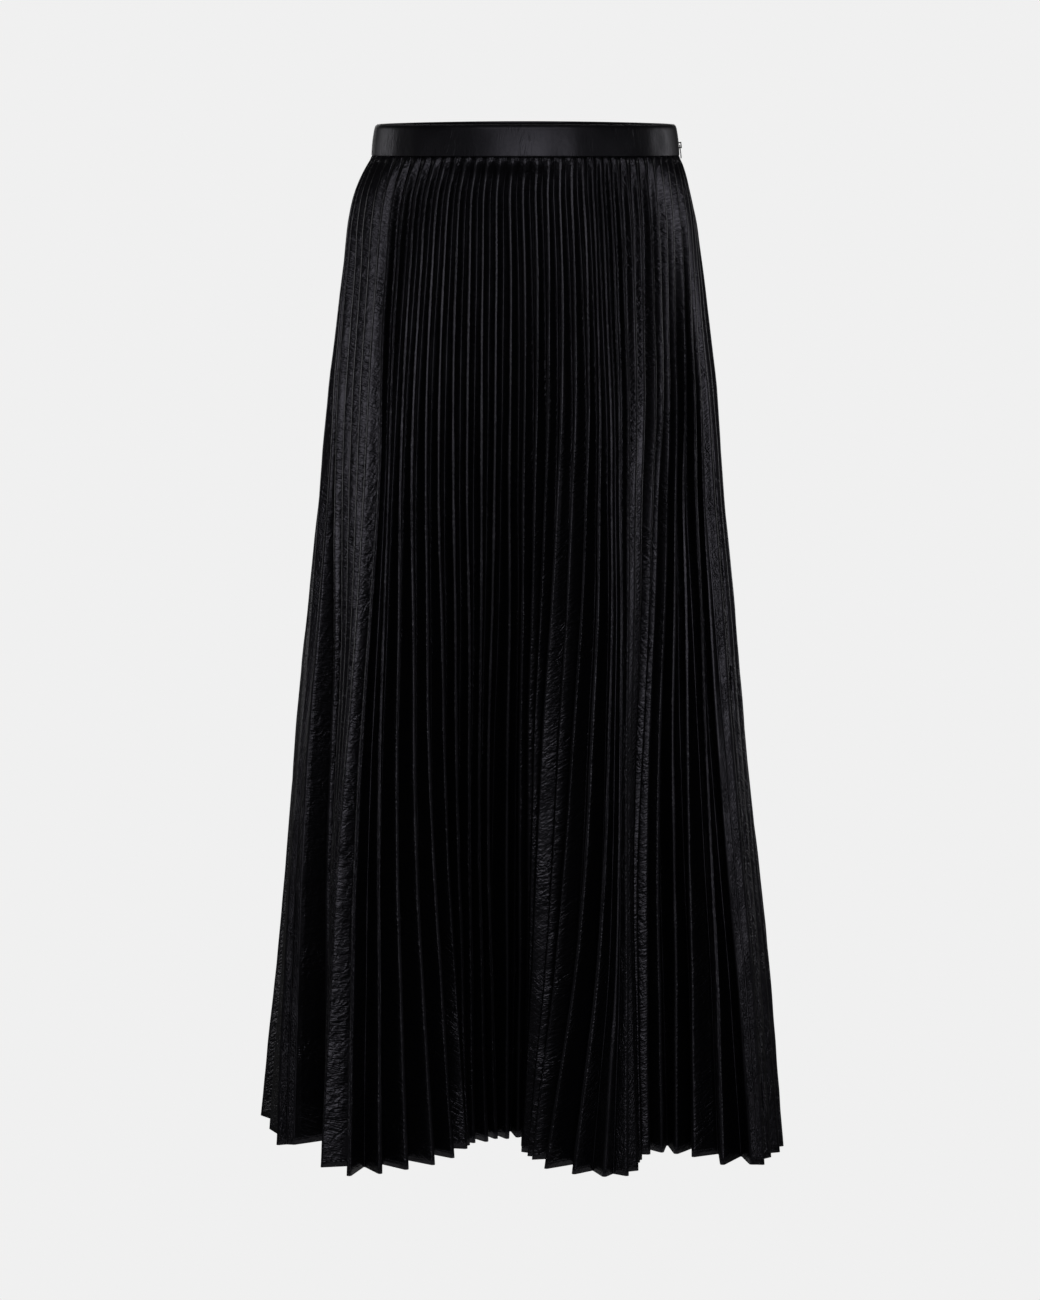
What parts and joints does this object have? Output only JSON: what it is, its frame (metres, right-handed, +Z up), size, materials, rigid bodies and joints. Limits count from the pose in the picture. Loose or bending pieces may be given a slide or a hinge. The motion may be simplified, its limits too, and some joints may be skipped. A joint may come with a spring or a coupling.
{
  "type": "pleated midi skirt",
  "caption": "Midi skirt with sharp sunray pleats on a plain waistband, filled out as if worn, with a concealed side zip.",
  "frame": {"origin": "centre of the waist, half-way up the front of the waistband", "axes": "+Z up along the wearer, +Y from the wearer's front to the back, +X to the wearer's left, where the zip is"},
  "size_m": [0.4403, 0.3471, 0.8382],
  "materials": {
    "pleated_satin": "black polyester satin, permanently pleated, lightly crinkled, soft sheen",
    "band_satin": "black polyester satin, pressed flat over interfacing",
    "zip_metal": "black enamel"
  },
  "bodies": {
    "skirt": {"skirt_front": "pleated_satin", "skirt_back": "pleated_satin", "waistband_front": "band_satin", "waistband_back": "band_satin", "zip_slider": "zip_metal"},
    "pull_tab": {"zip_pull": "zip_metal"}
  },
  "joints": [
    {"name": "zip_pull_hinge", "type": "hinge", "parent": "skirt", "child": "pull_tab", "pos_m": [0.12627, 0, -0.00287], "axis": [0, -1, 0], "range_deg": [0, 170]}
  ]
}
